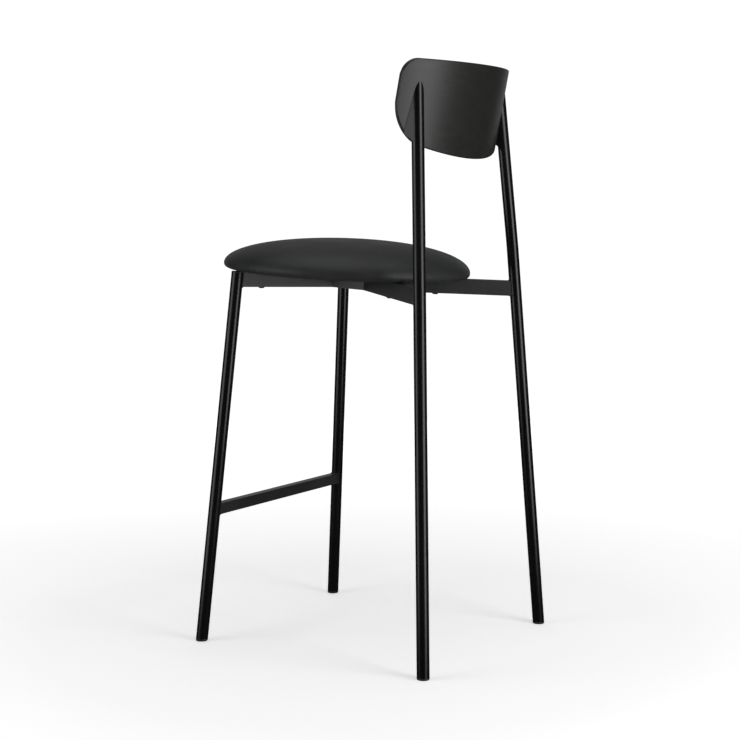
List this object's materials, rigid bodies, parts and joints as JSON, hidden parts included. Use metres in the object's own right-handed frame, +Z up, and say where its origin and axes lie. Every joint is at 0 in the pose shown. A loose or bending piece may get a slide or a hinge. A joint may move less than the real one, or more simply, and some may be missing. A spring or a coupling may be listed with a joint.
{
  "type": "bar stool",
  "caption": "Bar stool with a round padded seat on a forked steel frame, slender splayed tube legs, a front footrest bar and a low curved back panel.",
  "frame": {"origin": "on the floor, in the middle of the object's box", "axes": "+Z up, the sitter faces -Y, +X is the sitter's left"},
  "size_m": [0.4622, 0.5311, 1.0416],
  "materials": {
    "frame_paint": "satin black powder coat on steel",
    "seat_cover": "soft charcoal imitation leather",
    "foam": "cut foam",
    "board_plywood": "raw birch plywood",
    "dust_cloth": "black non-woven cloth",
    "glide_plastic": "moulded black nylon",
    "panel_lacquer": "moulded plywood in matt black lacquer",
    "black_screws": "black oxide on steel",
    "zinc_nuts": "bright zinc"
  },
  "bodies": {
    "root": {"front_leg_left": "frame_paint", "front_leg_right": "frame_paint", "rear_leg_left": "frame_paint", "rear_leg_right": "frame_paint", "front_arm_left": "frame_paint", "front_arm_right": "frame_paint", "rear_arm_left": "frame_paint", "rear_arm_right": "frame_paint", "centre_spine": "frame_paint", "footrest_bar": "frame_paint", "leg_cap_left": "glide_plastic", "leg_cap_right": "glide_plastic", "foot_glide_front_left": "glide_plastic", "foot_glide_front_right": "glide_plastic", "foot_glide_rear_left": "glide_plastic", "foot_glide_rear_right": "glide_plastic", "seat_board": "board_plywood", "seat_foam": "foam", "seat_cover": "seat_cover", "dust_cloth": "dust_cloth", "seat_screws": "black_screws", "seat_nuts": "zinc_nuts", "back_panel": "panel_lacquer", "back_wedge_left": "frame_paint", "back_wedge_right": "frame_paint", "back_plug_left": "frame_paint", "back_plug_right": "frame_paint", "back_screws": "black_screws"}
  },
  "joints": []
}
